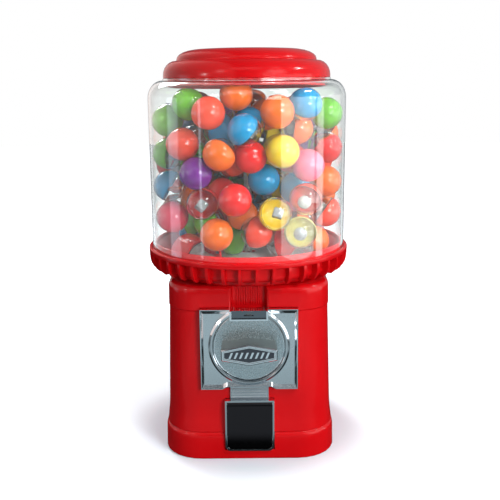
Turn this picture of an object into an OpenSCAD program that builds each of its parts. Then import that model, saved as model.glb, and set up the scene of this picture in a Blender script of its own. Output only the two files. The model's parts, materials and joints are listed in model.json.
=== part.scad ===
/* [Overall] */
// Height of the machine, floor to the top of the lid
machine_h = 406; // [404:1:412]
// Half width of the base pan at the floor
pan_half_w = 87.6; // [87.2:0.1:88]
// Half width of the cabinet above its bottom flare
cabinet_half_w = 82.6; // [82.2:0.1:82.9]
// Height of the seam between base pan and cabinet
seam_z = 28.2; // [27.6:0.1:28.6]
// Height of the flat top of the cabinet
cabinet_top_z = 179.5; // [179.3:0.1:179.6]

/* [Hopper and globe] */
// Outer radius of the hopper lip
lip_r = 104.8; // [104.4:0.1:106]
// Height of the top of the hopper lip
lip_z = 206.2; // [206:0.1:207]
// Number of ribs round the hopper
rib_count = 40; // [30:1:48]
// Thickness of one rib
rib_w = 3; // [2.4:0.1:3.6]
// Outer radius of the clear globe
globe_r = 100.9; // [100.6:0.1:101]
// Wall thickness of the globe
globe_wall = 2.5; // [2:0.1:2.6]
// Height of the globe's top edge
globe_top_z = 377; // [376.6:0.1:377.4]
// Radius of the centre rod
rod_r = 4; // [3.6:0.1:4.1]

/* [Lid] */
// Radius of the lid at its bottom edge
lid_r = 84.8; // [84:0.1:86]
// Radius of the upper tier of the lid
lid_tier_r = 70.8; // [69:0.1:72]
// Wall thickness of the lid
lid_wall = 2.6; // [2.2:0.1:3]

/* [Capsules] */
// Diameter of one toy capsule
capsule_d = 32; // [31.6:0.1:32]
// Wall thickness of one capsule
capsule_wall = 1.2; // [0.8:0.1:1.6]
// Most capsules that the globe is filled with
capsule_count = 160; // [90:1:160]
// Seed of the fill
fill_seed = 7; // [1:1:99]

/* [Coin mechanism] */
// Half width of the face plate
plate_half_w = 48.2; // [47:0.1:48.4]
// Lower edge of the face plate
plate_z0 = 75; // [74.8:0.1:75.6]
// Upper edge of the face plate
plate_z1 = 158; // [157:0.1:158.2]
// Height of the knob's axis
knob_z = 120.5; // [120.4:0.1:120.6]
// Inner radius of the round bezel
bezel_r = 35.6; // [35.4:0.1:36]
// Width of the grip bar
grip_w = 53.6; // [50:0.1:54]
// Height of the grip bar at its middle
grip_h = 20.8; // [19:0.1:24]
// How far the grip bar stands out of the knob's disc
grip_depth = 25.2; // [20:0.1:27]
// Diameter of the coin that the carrier takes
coin_d = 24.3; // [22:0.1:25]

/* [Gear train] */
// Module of the gears
gear_m = 1.875; // [1.875:0.001:1.875]
// Teeth of the drive gear on the knob shaft
drive_teeth = 8; // [8:1:8]
// Teeth of the idler gear
idler_teeth = 31; // [31:1:31]
// Teeth of the crown gear under the wheel
crown_teeth = 40; // [40:1:40]

/* [Wheel] */
// Number of capsule pockets in the wheel
pocket_count = 5; // [4:1:5]
// Radius of one pocket
pocket_r = 18; // [17.5:0.1:18]
// Radius of the circle on which the pockets lie
pocket_circle_r = 61.5; // [61.4:0.1:61.6]

/* [Door] */
// Half width of the door frame
door_half_w = 24.5; // [24:0.1:24.8]
// Lower edge of the door frame
door_z0 = 10; // [9.8:0.1:10.4]
// Upper edge of the door frame
door_z1 = 64; // [63.6:0.1:64.4]

/* [Hidden] */
$fn = 64;
eps = 0.01;

// Gaps: running fit of a shaft, clearance round a screw, gap between moving pieces
running_gap = 0.05;
screw_gap = 0.15;
moving_gap = 0.4;

// Cabinet: half width at each height, corner radius, wall
cabinet_profile = [
    [seam_z, 84.9], [seam_z + 0.8, 85.7], [36, 84.8], [42, 84.1], [48, 83.7], [66, cabinet_half_w + 0.6],
    [99, cabinet_half_w - 0.3], [132, cabinet_half_w - 1.3], [154, cabinet_half_w - 2],
    [155.2, cabinet_half_w - 1.2], [171, cabinet_half_w - 1.5]
];
cabinet_corner_r = 35;
cabinet_wall = 2.6;
cabinet_top_round = 6;
cabinet_roof = 3;

// Front channel of the cabinet
channel_half_w = 17;
channel_depth = 9;
channel_fillet = 3.5;
channel_z0 = 60;
flute_count = 11;
flute_pitch = 2.35;
flute_r = 0.8;

// Hopper: floor, well for the wheel, shelf and inner rim
hopper_floor = 3;
well_floor_z = cabinet_top_z + hopper_floor;
well_r = 82.6;
shelf_r0 = 84;
shelf_z0 = 198;
skirt_r = 97;
groove_z = lip_z - 3;
rim_inner_r = 95.5;
rim_top_z = 212;
shelf_z1 = 208;
hub_r = 9;

// Wheel
wheel_r = 82;
wheel_z0 = 183.2;
wheel_z1 = 197;
wheel_skin = 3;
wheel_wall = 2.3;
crown_ring_r0 = 34;
crown_ring_r1 = 41;
crown_recess_top = 191.5;

// Outlet hole in the hopper floor, left of the mechanism
outlet_angle = 209.5;
outlet_x = pocket_circle_r * cos(outlet_angle);
outlet_y = pocket_circle_r * sin(outlet_angle);

// Gears: radii, heights, place along the shaft
drive_pitch_r = gear_m * drive_teeth / 2;
idler_pitch_r = gear_m * idler_teeth / 2;
crown_pitch_r = gear_m * crown_teeth / 2;
idler_z = knob_z + drive_pitch_r + idler_pitch_r;
crown_z = idler_z + idler_pitch_r;
addendum = 0.72 * gear_m;
dedendum = 1.0 * gear_m;
pressure_angle = 25;
gear_backlash = 0.3;
gear_face = 3.6;
crown_face = 3;
gear_y0 = -crown_pitch_r - gear_face / 2;

// Coin mechanism, from the front backwards
grip_front_y = -89.6 - grip_depth;
knob_disc_y0 = -89.6;
knob_disc_y1 = -86.4;
plate_border_y = -88.2;
plate_front_y = -86;
plate_back_y = -80;
bezel_front_y = -91.2;
slot_block_y = -94.4;
slot_block_half_w = 18.7;
slot_block_z0 = 148.4;
slot_panel_y = -92;
carrier_r = 31;
carrier_y0 = -82.8;
carrier_y1 = -80.2;
shaft_r = 6;
shaft_tail_r = 4;
frame_half_w = 33;
frame_z0 = 84;
frame_z1 = 149;
frame_wall = 2.5;
frame_back_y = -46;
mech_opening_half_w = 36;
mech_opening_z0 = 82;
mech_opening_z1 = 150.5;

// Ratchet and pawl
ratchet_r = 18;
ratchet_teeth = 16;
ratchet_y0 = -70;
ratchet_t = 3;
pawl_x = -22;
pawl_z = knob_z + 20;

// Door
door_front_y = -90.5;
door_back_y = -74;
door_rim = 1.6;
door_corner_r = 6;
pin_y = -88.5;
pin_z = 60;
pin_r = 1.5;
barrel_r = 2.3;
flap_t = 2;
neck_half_w = 16.6;
neck_plate_half_w = 19;

function arc(cx, cy, r, a0, a1, n) =
    [for (i = [0:n]) let (a = a0 + (a1 - a0) * i / n) [cx + r * cos(a), cy + r * sin(a)]];

// A square ring with round corners at height z
function rounded_ring(half_x, half_y, r, z, n = 7) = [
    for (q = [0:3], k = [0:n])
        let (
            a = 90 * q + 90 * k / n,
            sx = (q == 0 || q == 3) ? 1 : -1,
            sy = q < 2 ? 1 : -1
        )
        [sx * (half_x - r) + r * cos(a), sy * (half_y - r) + r * sin(a), z]
];

// A solid skinned over rings of equal length, which run anticlockwise seen from the last ring
module skin(rings) {
    n = len(rings[0]);
    last = len(rings) - 1;
    polyhedron(
        points = [for (ring = rings) each ring],
        faces = [
            [for (j = [0:n - 1]) j],
            [for (j = [n - 1:-1:0]) last * n + j],
            for (i = [0:last - 1], j = [0:n - 1])
                let (k = (j + 1) % n)
                [i * n + j, (i + 1) * n + j, (i + 1) * n + k, i * n + k]
        ]
    );
}

// A cylinder along Y from y0 to y1 at (x, z)
module rod_y(x, z, r, y0, y1) {
    translate([x, y0, z]) rotate([-90, 0, 0]) cylinder(r = r, h = y1 - y0);
}

// A box given by its two corners
module block(low, high) {
    translate(low) cube(high - low);
}

// A plate whose outline is drawn in X and Z, from y0 back to y1
module plate_y(y0, y1) {
    translate([0, y1, 0]) rotate([90, 0, 0]) linear_extrude(y1 - y0) children();
}

module base_pan() {
    wall = 2.7;
    floor_t = 3;
    lip_half_w = 82.6;
    lip_t = 2.2;
    lip_top_z = 34;
    boss_r = 12;
    boss_top_z = 15;
    hole_offset = 50;
    hole_r = 3.25;
    top_half_w = 84.8;
    color("firebrick") difference() {
        union() {
            difference() {
                skin([
                    rounded_ring(pan_half_w - 0.8, pan_half_w - 0.8, 38.2, 0),
                    rounded_ring(pan_half_w, pan_half_w, 39, 1.2),
                    rounded_ring(pan_half_w - 0.5, pan_half_w - 0.5, 38.5, 22.5),
                    rounded_ring(pan_half_w - 1, pan_half_w - 1, 38, 25.4),
                    rounded_ring(pan_half_w - 1.9, pan_half_w - 1.9, 37.1, 26.9),
                    rounded_ring(top_half_w, top_half_w, 36.2, 27.4),
                    rounded_ring(top_half_w, top_half_w, 36.2, seam_z)
                ]);
                skin([
                    rounded_ring(top_half_w - wall, top_half_w - wall, 33.5, floor_t),
                    rounded_ring(top_half_w - wall, top_half_w - wall, 33.5, seam_z + 1)
                ]);
            }
            difference() {
                skin([
                    rounded_ring(lip_half_w, lip_half_w, 34, seam_z - 6),
                    rounded_ring(lip_half_w, lip_half_w, 34, lip_top_z - 1),
                    rounded_ring(lip_half_w - 1, lip_half_w - 1, 33, lip_top_z)
                ]);
                skin([
                    rounded_ring(lip_half_w - lip_t, lip_half_w - lip_t, 31.8, seam_z - 7),
                    rounded_ring(lip_half_w - lip_t, lip_half_w - lip_t, 31.8, lip_top_z + 1)
                ]);
            }
            cylinder(r = boss_r, h = boss_top_z);
        }
        translate([0, 0, 5]) cylinder(r = rod_r + running_gap, h = boss_top_z);
        for (x = [-hole_offset, hole_offset], y = [-hole_offset, hole_offset])
            translate([x, y, -1]) cylinder(r = hole_r, h = floor_t + 2);
        block([-door_half_w - 0.5, -100, door_z0 - 0.5], [door_half_w + 0.5, -70, seam_z + 10]);
    }
}

// Outline of the front channel in plan at height z, open to the front
function channel_ring(z) =
    let (
        front = -lookup(z, cabinet_profile),
        f = channel_fillet,
        side = concat(
            [[channel_half_w + f, -100]],
            [for (t = [0:22.5:90])
                [channel_half_w + f - f * sin(t), front + f - f * cos(t)]],
            [for (t = [0:22.5:90])
                [channel_half_w - f + f * cos(t), front + channel_depth - f + f * sin(t)]]
        ),
        n = len(side)
    )
    concat(
        [for (p = side) [p[0], p[1], z]],
        [for (i = [n - 1:-1:0]) [-side[i][0], side[i][1], z]]
    );

module cabinet_shell() {
    corner_drop = function (half) cabinet_corner_r + half - cabinet_half_w;
    top_half = lookup(171, cabinet_profile);
    round_z = cabinet_top_z - cabinet_top_round;
    difference() {
        skin(concat(
            [for (row = cabinet_profile) rounded_ring(row[1], row[1], corner_drop(row[1]), row[0])],
            [for (a = [0:22.5:90])
                let (half = top_half - cabinet_top_round * (1 - cos(a)))
                rounded_ring(half, half, corner_drop(half), round_z + cabinet_top_round * sin(a))]
        ));
        skin(concat(
            [rounded_ring(83, 83, 34.3, seam_z - 1), rounded_ring(83, 83, 34.3, 35)],
            [for (z = [42, 66, 154])
                let (half = lookup(z, cabinet_profile) - cabinet_wall)
                rounded_ring(half, half, corner_drop(half), z)],
            [for (a = [0:30:90])
                let (half = top_half - cabinet_wall - 3.4 * (1 - cos(a)))
                rounded_ring(half, half, corner_drop(half),
                    cabinet_top_z - cabinet_roof - 3.4 + 3.4 * sin(a))]
        ));
    }
}

module cabinet() {
    pad_half_w = 51;
    backing_half_w = channel_half_w + cabinet_wall;
    roof_under_z = cabinet_top_z - cabinet_roof;
    front_top = -lookup(170, cabinet_profile);
    floor_y = front_top + channel_depth;
    color("crimson") {
        difference() {
            union() {
                cabinet_shell();
                block([-pad_half_w, plate_back_y, plate_z0 - 4], [pad_half_w, -75.5, plate_z1 + 3]);
                block([-backing_half_w, -79, channel_z0 + 6], [backing_half_w, floor_y + 2.6, roof_under_z + eps]);
            }
            skin([for (z = [channel_z0, 66, 99, 132, 154, 155.2, 171, cabinet_top_z + 4]) channel_ring(z)]);
            // seat of the face plate and the opening for the mechanism
            block([-plate_half_w - 0.2, -100, plate_z0 - 0.2], [plate_half_w + 0.2, plate_back_y, plate_z1 + 0.2]);
            block([-mech_opening_half_w, -100, mech_opening_z0], [mech_opening_half_w, -60, mech_opening_z1]);
            // opening for the door frame
            block([-door_half_w - 0.3, -100, seam_z - 5], [door_half_w + 0.3, -60, door_z1 + 0.3]);
            // roof: rod hole, outlet, slot for the idler gear, hopper bolts
            translate([0, 0, roof_under_z - 5]) cylinder(r = rod_r + 1, h = 20);
            translate([outlet_x, outlet_y, roof_under_z - 5]) cylinder(r = pocket_r, h = 20);
            block([-26, gear_y0 - 2, roof_under_z - 5], [26, gear_y0 + gear_face + 2, cabinet_top_z + 5]);
            for (p = hopper_bolt_places)
                translate([p[0], p[1], roof_under_z - 5]) cylinder(r = 2 + screw_gap, h = 20);
            for (x = [-42.4, 42.4], z = [90, 150.5])
                rod_y(x, z, 2 + screw_gap, -82, -70);
        }
        // vertical flutes on the floor of the channel, above the face plate
        for (i = [0:flute_count - 1])
            translate([(i - (flute_count - 1) / 2) * flute_pitch, floor_y - 0.1, plate_z1 + 0.6])
                cylinder(r = flute_r, h = cabinet_top_z - plate_z1 - 0.8);
    }
}
hopper_bolt_places = [[48, 48], [-48, 48], [44, -50], [-14, -64]];

// Section of the chute at turn a, from straight down (0) to straight forward (90)
function chute_ring(a, grow) =
    let (
        t = a / 90,
        s = t * t * (3 - 2 * t),
        centre = [outlet_x * (1 - s), outlet_y - (outlet_y - door_back_y) * (1 - cos(a)), 84 - 48 * sin(a)],
        half_u = 18.4 + 3.2 * s + 4 * sin(180 * t) + grow,
        half_v = 18.4 + 4 * s + grow,
        corner = 4
    )
    [for (p = rounded_ring(half_u, half_v, corner, 0, 3))
        [centre[0] + p[0], centre[1] + p[1] * cos(a), centre[2] - p[1] * sin(a)]];

function lift_ring(ring, z) = [for (p = ring) [p[0], p[1], z]];

module chute() {
    wall = 1.5;
    turns = [90:-11.25:0];
    roof_under_z = cabinet_top_z - cabinet_roof;
    color("lightgray") difference() {
        skin(concat([for (a = turns) chute_ring(a, wall)], [lift_ring(chute_ring(0, wall), roof_under_z)]));
        skin(concat(
            [for (p = [chute_ring(90, 0)]) [for (q = p) [q[0], q[1] - 2, q[2]]]],
            [for (a = turns) chute_ring(a, 0)],
            [lift_ring(chute_ring(0, 0), roof_under_z + 2)]
        ));
    }
}

// Outline of the door frame in X and Z, grown or shrunk by g
module door_outline(g) {
    r = door_corner_r + g;
    w = door_half_w + g;
    union() {
        translate([-w, door_z0 - g + r]) square([2 * w, door_z1 + g - (door_z0 - g + r)]);
        translate([-w + r, door_z0 - g]) square([2 * (w - r), r + 1]);
        for (x = [-w + r, w - r]) translate([x, door_z0 - g + r]) circle(r);
    }
}

module door_frame() {
    neck_z1 = 76.8;
    neck_front_y = -85.4;
    color("silver") difference() {
        union() {
            plate_y(door_front_y, door_back_y) door_outline(0);
            block([-neck_half_w, neck_front_y, door_z1 - 1], [neck_half_w, -77.9, neck_z1]);
            block([-neck_plate_half_w, neck_front_y, door_z1 - 1], [neck_plate_half_w, -83.4, neck_z1]);
            for (z = [66.4, 69.2, 72, 74.8])
                translate([-neck_plate_half_w, neck_front_y, z]) rotate([0, 90, 0])
                    cylinder(r = 1, h = 2 * neck_plate_half_w);
        }
        plate_y(door_front_y - 1, door_back_y - 3) difference() {
            door_outline(-door_rim);
            translate([-50, pin_z + barrel_r + 0.3]) square([100, 20]);
        }
        plate_y(door_back_y - 4, door_back_y + 1)
            translate([-21.4, door_z0 + 3.4]) square([42.8, 44.8]);
        translate([-30, pin_y, pin_z]) rotate([0, 90, 0]) cylinder(r = pin_r + screw_gap, h = 60);
    }
}

module door_flap() {
    w = door_half_w - door_rim - moving_gap;
    z0 = door_z0 + door_rim + moving_gap;
    r = door_corner_r - door_rim - moving_gap + 0.6;
    color("dimgray") difference() {
        union() {
            plate_y(-90.2, -90.2 + flap_t) union() {
                translate([-w, z0 + r]) square([2 * w, pin_z - z0 - r]);
                translate([-w + r, z0]) square([2 * (w - r), r + 1]);
                for (x = [-w + r, w - r]) translate([x, z0 + r]) circle(r);
            }
            translate([-w, pin_y, pin_z]) rotate([0, 90, 0]) cylinder(r = barrel_r, h = 2 * w);
        }
        translate([-30, pin_y, pin_z]) rotate([0, 90, 0]) cylinder(r = pin_r + running_gap, h = 60);
    }
}

module door_pin() {
    color("gainsboro") translate([-door_half_w + 0.2, pin_y, pin_z]) rotate([0, 90, 0])
        cylinder(r = pin_r, h = 2 * door_half_w - 0.4);
}

notch_top_half_w = 22;
notch_half_w = 28;
notch_rise = 2.6;

// Outline of the face plate in X and Z; its bottom edge steps up round the door's neck
module plate_outline() {
    w = plate_half_w;
    step_z = plate_z0 + notch_rise;
    polygon([
        [-w, plate_z0], [-notch_half_w, plate_z0], [-notch_top_half_w, step_z], [notch_top_half_w, step_z],
        [notch_half_w, plate_z0], [w, plate_z0], [w, plate_z1], [-w, plate_z1]
    ]);
}

// The plate's rectangle at depth y, shrunk by gx at the sides and gz above and below
function bevel_ring(gx, gz, y) =
    [for (p = [[-1, 0], [1, 0], [1, 1], [-1, 1]])
        [p[0] * (plate_half_w - gx), y, p[1] == 0 ? plate_z0 + gz : plate_z1 - gz]];

// Section of the border over the notch at x, lifted by rise
function notch_border(x, rise) =
    [for (p = [[-85.4, 5.7], [plate_border_y, 1], [plate_border_y, 0.7], [-87.6, 0.3], [-85.4, 0.3]])
        [x, p[0], plate_z0 + rise + p[1]]];

module face_plate() {
    bezel_w = 4.4;
    color("lightsteelblue") difference() {
        union() {
            plate_y(plate_front_y, plate_back_y) plate_outline();
            // border, a narrow rim that slopes down to the field
            difference() {
                skin([
                    bevel_ring(0.05, 0.05, plate_front_y + 1),
                    bevel_ring(0.05, 0.05, plate_front_y - 1.6),
                    bevel_ring(0.45, 0.45, plate_border_y)
                ]);
                skin([bevel_ring(4.05, 5.7, -85.4), bevel_ring(0.13, -0.34, -89)]);
                rod_y(0, knob_z, bezel_r + 2, plate_border_y - 1, plate_front_y);
                plate_y(plate_border_y - 1, plate_front_y + 2) polygon([
                    [-notch_half_w - 1, plate_z0 - 1], [-notch_half_w, plate_z0],
                    [-notch_top_half_w, plate_z0 + notch_rise], [notch_top_half_w, plate_z0 + notch_rise],
                    [notch_half_w, plate_z0], [notch_half_w + 1, plate_z0 - 1]
                ]);
            }
            skin([
                notch_border(-notch_half_w - 0.3, -0.1), notch_border(-notch_top_half_w, notch_rise),
                notch_border(notch_top_half_w, notch_rise), notch_border(notch_half_w + 0.3, -0.1)
            ]);
            translate([0, plate_front_y, knob_z]) rotate([90, 0, 0]) rotate_extrude()
                polygon(concat(
                    [[bezel_r, -1], [bezel_r + bezel_w, -1]],
                    arc(bezel_r + bezel_w - 2, plate_front_y - bezel_front_y - 2, 2, 0, 90, 4),
                    arc(bezel_r + 1.2, plate_front_y - bezel_front_y - 1.2, 1.2, 90, 180, 3)
                ));
            // the slot block, open above, stands over the top of the knob's disc
            difference() {
                block([-slot_block_half_w, slot_block_y, slot_block_z0],
                    [slot_block_half_w, plate_front_y + 1, plate_z1 - 0.1]);
                block([-slot_block_half_w + 1.8, slot_block_y - 1, slot_block_z0 + 1.5],
                    [slot_block_half_w - 1.8, slot_panel_y, plate_z1 + 1]);
                rod_y(0, knob_z, bezel_r + 0.8, knob_disc_y0 - 0.5, plate_front_y + 2);
                // crescent window
                intersection() {
                    rod_y(0, slot_block_z0 - 1.1, 7.5, slot_block_y - 1, knob_disc_y0);
                    block([-10, slot_block_y - 2, slot_block_z0 + 4.2], [10, knob_disc_y0 + 1, plate_z1]);
                }
            }
        }
        // coin slot and the seat of the coin carrier behind
        block([-13.2, -82.9, knob_z], [13.2, plate_back_y + 1, plate_z1 + 1]);
        rod_y(0, knob_z, carrier_r + 0.4, -83, plate_back_y + 1);
        rod_y(0, knob_z, shaft_r + running_gap, -95, -75);
        for (x = [-26.5, 26.5], z = [knob_z - 22.5, knob_z + 22.5])
            rod_y(x, z, 1.8 + screw_gap, -84.6, -79);
        for (x = [-42.4, 42.4], z = [90, 150.5])
            rod_y(x, z, 2 + screw_gap, -84.6, -79);
    }
}

module mech_frame() {
    w = frame_half_w;
    i = frame_wall;
    color("darkgray") difference() {
        block([-w, plate_back_y, frame_z0], [w, frame_back_y, frame_z1]);
        block([-w + i, plate_back_y + i, frame_z0 - 1], [w - i, frame_back_y - i, frame_z1 - i]);
        // coins leave the carrier at the bottom
        block([-15, plate_back_y - 1, frame_z0 - 1], [15, plate_back_y + i + 1, knob_z - 20]);
        // coins enter the carrier's seat from above
        rod_y(0, knob_z, shaft_r + running_gap, plate_back_y - 1, plate_back_y + i + 1);
        rod_y(0, knob_z, shaft_tail_r + running_gap, frame_back_y - i - 1, frame_back_y + 1);
        for (x = [-26.5, 26.5], z = [knob_z - 22.5, knob_z + 22.5])
            rod_y(x, z, 1.8 + screw_gap, plate_back_y - 1, plate_back_y + i + 1);
        rod_y(pawl_x, pawl_z, 2 + screw_gap, frame_back_y - i - 1, frame_back_y + 1);
    }
}

module frame_screws() {
    y = plate_back_y + frame_wall;
    color("gainsboro") for (x = [-26.5, 26.5], z = [knob_z - 22.5, knob_z + 22.5]) {
        rod_y(x, z, 1.8, -84.4, y + eps);
        rod_y(x, z, 3.1, y, y + 2.2);
    }
}

module plate_bolts() {
    color("gainsboro") for (x = [-42.4, 42.4], z = [90, 150.5]) {
        rod_y(x, z, 2, -84.4, -75.4);
        rod_y(x, z, 4, -75.5, -72.5);
    }
}

// Outline of the grip bar at depth y, grown by g, with ends of half height e
function grip_ring(g, y, e = 5.2) =
    let (w = grip_w / 2 + g, h = grip_h / 2 + g, f = e + 0.82 * g)
    [for (p = [[w, -f], [w, f], [0, h], [-w, f], [-w, -f], [0, -h]]) [p[0], y, knob_z + p[1]]];

module knob() {
    badge_depth = 0.9;
    color("silver") difference() {
        union() {
            translate([0, knob_disc_y1, knob_z]) rotate([90, 0, 0]) rotate_extrude()
                polygon([[0, 0], [bezel_r - 0.4, 0], [bezel_r - 0.4, 1.8], [bezel_r - 1.6, 2.6],
                    [0, knob_disc_y1 - knob_disc_y0]]);
            skin([
                grip_ring(-0.8, knob_disc_y0 + 1, 6.9),
                grip_ring(0, grip_front_y + 0.9),
                grip_ring(-0.9, grip_front_y)
            ]);
        }
        skin([grip_ring(-2, grip_front_y + badge_depth), grip_ring(-2, grip_front_y - 1)]);
        rod_y(0, knob_z, 5 + running_gap, knob_disc_y0 - 8, knob_disc_y1 + 1);
    }
}

module knob_badge() {
    color("slategray") skin([grip_ring(-2.2, grip_front_y + 0.9), grip_ring(-2.2, grip_front_y + 0.35)]);
}

module knob_shaft() {
    color("gainsboro") {
        rod_y(0, knob_z, 5, knob_disc_y0 - 7.5, knob_disc_y1 + 0.2);
        rod_y(0, knob_z, shaft_r, knob_disc_y1, frame_back_y - frame_wall - 0.3);
        rod_y(0, knob_z, shaft_tail_r, frame_back_y - frame_wall - 0.4, -32);
    }
}

module coin_carrier() {
    coin_r = coin_d / 2 + 0.4;
    notch_z = carrier_r - coin_r + 2;
    color("goldenrod") translate([0, 0, knob_z]) difference() {
        rod_y(0, 0, carrier_r, carrier_y0, carrier_y1);
        rod_y(0, notch_z, coin_r, carrier_y0 - 1, carrier_y1 + 1);
        block([-coin_r, carrier_y0 - 1, notch_z], [coin_r, carrier_y1 + 1, carrier_r + 1]);
        rod_y(0, 0, shaft_r + running_gap, carrier_y0 - 1, carrier_y1 + 1);
    }
}

module ratchet_disc() {
    step = 360 / ratchet_teeth;
    teeth = [for (i = [0:ratchet_teeth - 1])
        each [[ratchet_r * cos(i * step), ratchet_r * sin(i * step)],
            [(ratchet_r - 2.4) * cos(i * step + 2), (ratchet_r - 2.4) * sin(i * step + 2)]]];
    color("darkgray") translate([0, 0, knob_z]) difference() {
        plate_y(ratchet_y0, ratchet_y0 + ratchet_t) polygon(teeth);
        rod_y(0, 0, shaft_r + running_gap, ratchet_y0 - 1, ratchet_y0 + ratchet_t + 1);
    }
}

module pawl() {
    tip_x = -3.5;
    foot_z = knob_z + ratchet_r + 0.5;
    color("gray") difference() {
        union() {
            plate_y(ratchet_y0, ratchet_y0 + ratchet_t)
                polygon([[pawl_x, pawl_z - 2.6], [-12, foot_z + 0.8], [tip_x, foot_z], [tip_x, foot_z + 2.4],
                    [-12, pawl_z + 2.4], [pawl_x, pawl_z + 3.4]]);
            rod_y(pawl_x, pawl_z, 3.4, ratchet_y0, ratchet_y0 + ratchet_t);
        }
        rod_y(pawl_x, pawl_z, 2 + running_gap, ratchet_y0 - 1, ratchet_y0 + ratchet_t + 1);
    }
}

module pawl_stud() {
    color("gainsboro") {
        rod_y(pawl_x, pawl_z, 2, ratchet_y0 - 1.5, frame_back_y);
        rod_y(pawl_x, pawl_z, 3, ratchet_y0 - 2.6, ratchet_y0 - 1.4);
        rod_y(pawl_x, pawl_z, 3, frame_back_y - frame_wall - 1.5, frame_back_y - frame_wall);
    }
}

module pawl_spring() {
    y0 = ratchet_y0 + ratchet_t + 0.4;
    turns = 7;
    color("silver") for (i = [0:turns - 1])
        translate([pawl_x, y0 + 0.5 + i * 1.2, pawl_z]) rotate([90, 0, 0])
            rotate_extrude() translate([2.9, 0]) circle(r = 0.5);
}

// Angle that an involute gains between its base circle and radius r
function involute_gain(base_r, r) =
    r <= base_r ? 0 : let (t = sqrt(pow(r / base_r, 2) - 1)) t * 180 / PI - atan(t);

// Outline of a spur gear, with one tooth centred on the direction first
module gear_outline(teeth, first) {
    pitch_r = gear_m * teeth / 2;
    base_r = pitch_r * cos(pressure_angle);
    root_r = pitch_r - dedendum;
    tip_r = pitch_r + addendum;
    radii = [root_r, for (i = [0:4]) max(base_r, root_r + 0.2) + (tip_r - max(base_r, root_r + 0.2)) * i / 4];
    half = function (r) 90 / teeth - gear_backlash / 2 / pitch_r * 180 / PI
        + involute_gain(base_r, pitch_r) - involute_gain(base_r, r);
    polygon([
        for (k = [0:teeth - 1])
            let (a = first + 360 * k / teeth)
            each concat(
                [for (r = radii) [r * cos(a - half(r)), r * sin(a - half(r))]],
                [for (i = [len(radii) - 1:-1:0]) [radii[i] * cos(a + half(radii[i])), radii[i] * sin(a + half(radii[i]))]]
            )
    ]);
}

module drive_gear() {
    color("darkgoldenrod") translate([0, 0, knob_z]) difference() {
        union() {
            plate_y(gear_y0, gear_y0 + gear_face) gear_outline(drive_teeth, 90);
            rod_y(0, 0, 5.4, gear_y0 - 3, gear_y0 + eps);
        }
        rod_y(0, 0, shaft_tail_r + running_gap, gear_y0 - 4, gear_y0 + gear_face + 1);
    }
}

module shaft_clip() {
    y = gear_y0 + gear_face + 0.1;
    color("silver") difference() {
        rod_y(0, knob_z, 6.2, y, y + 1);
        rod_y(0, knob_z, shaft_tail_r + running_gap, y - 1, y + 2);
        block([-2, y - 1, knob_z - 8], [2, y + 2, knob_z]);
    }
}

module idler_gear() {
    hole_circle_r = 16;
    color("burlywood") translate([0, 0, idler_z]) difference() {
        union() {
            plate_y(gear_y0, gear_y0 + gear_face) gear_outline(idler_teeth, -90 + 180 / idler_teeth);
            rod_y(0, 0, 8, gear_y0 - 1.6, gear_y0 + gear_face);
        }
        rod_y(0, 0, shaft_tail_r + running_gap, gear_y0 - 3, gear_y0 + gear_face + 1);
        for (a = [0:60:300])
            rod_y(hole_circle_r * cos(a), hole_circle_r * sin(a), 5, gear_y0 - 1, gear_y0 + gear_face + 1);
    }
}

module idler_bracket() {
    roof_under_z = cabinet_top_z - cabinet_roof;
    plate_y0 = gear_y0 - 4.6;
    color("darkgray") {
        block([-12, plate_y0, frame_z1 + 0.5], [12, plate_y0 + 2.5, roof_under_z]);
        block([-12, plate_y0 - 12, roof_under_z - 2.5], [12, plate_y0 + 2.5, roof_under_z]);
        rod_y(0, idler_z, shaft_tail_r, plate_y0 + 2.4, gear_y0 + gear_face + 1.4);
        rod_y(0, idler_z, shaft_tail_r + 1.5, gear_y0 + gear_face + 0.3, gear_y0 + gear_face + 1.4);
    }
}

// Half section of the hopper: floor, well, shelf, ribbed skirt, lip, groove for the globe and inner rim
function hopper_section() = concat(
    [[rod_r + 0.3, cabinet_top_z], [78, cabinet_top_z]],
    arc(well_r - 1.4, cabinet_top_z + 4, 4, -90, 0, 4),
    [[well_r + 2.6, shelf_z0 - 2.6], [91.1, groove_z - 2.6], [skirt_r - 2.8, groove_z - 2.6]],
    arc(skirt_r - 6, 191.8, 3.2, 0, -60, 3),
    arc(skirt_r - 6, 191.8, 6, -60, 0, 4),
    [[skirt_r, lip_z - 5.2], [lip_r - 1.2, lip_z - 5.2]],
    arc(lip_r - 1.5, lip_z - 3.7, 1.5, -70, 0, 3),
    arc(lip_r - 1.5, lip_z - 1.5, 1.5, 0, 90, 4),
    [[globe_r + 0.4, lip_z], [globe_r + 0.4, groove_z], [globe_r - globe_wall - 0.4, groove_z]],
    arc(globe_r - globe_wall - 0.4 - 1.1, rim_top_z - 1.1, 1.1, 0, 180, 4),
    [[rim_inner_r, shelf_z1], [shelf_r0, shelf_z0], [well_r, shelf_z0 - 1.2],
        [well_r, well_floor_z], [hub_r + 5, well_floor_z], [hub_r + 5, wheel_z0 - 0.1],
        [hub_r, wheel_z0 - 0.1], [hub_r, wheel_z1 - 1], [rod_r + 0.3, wheel_z1 - 1]]
);

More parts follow.
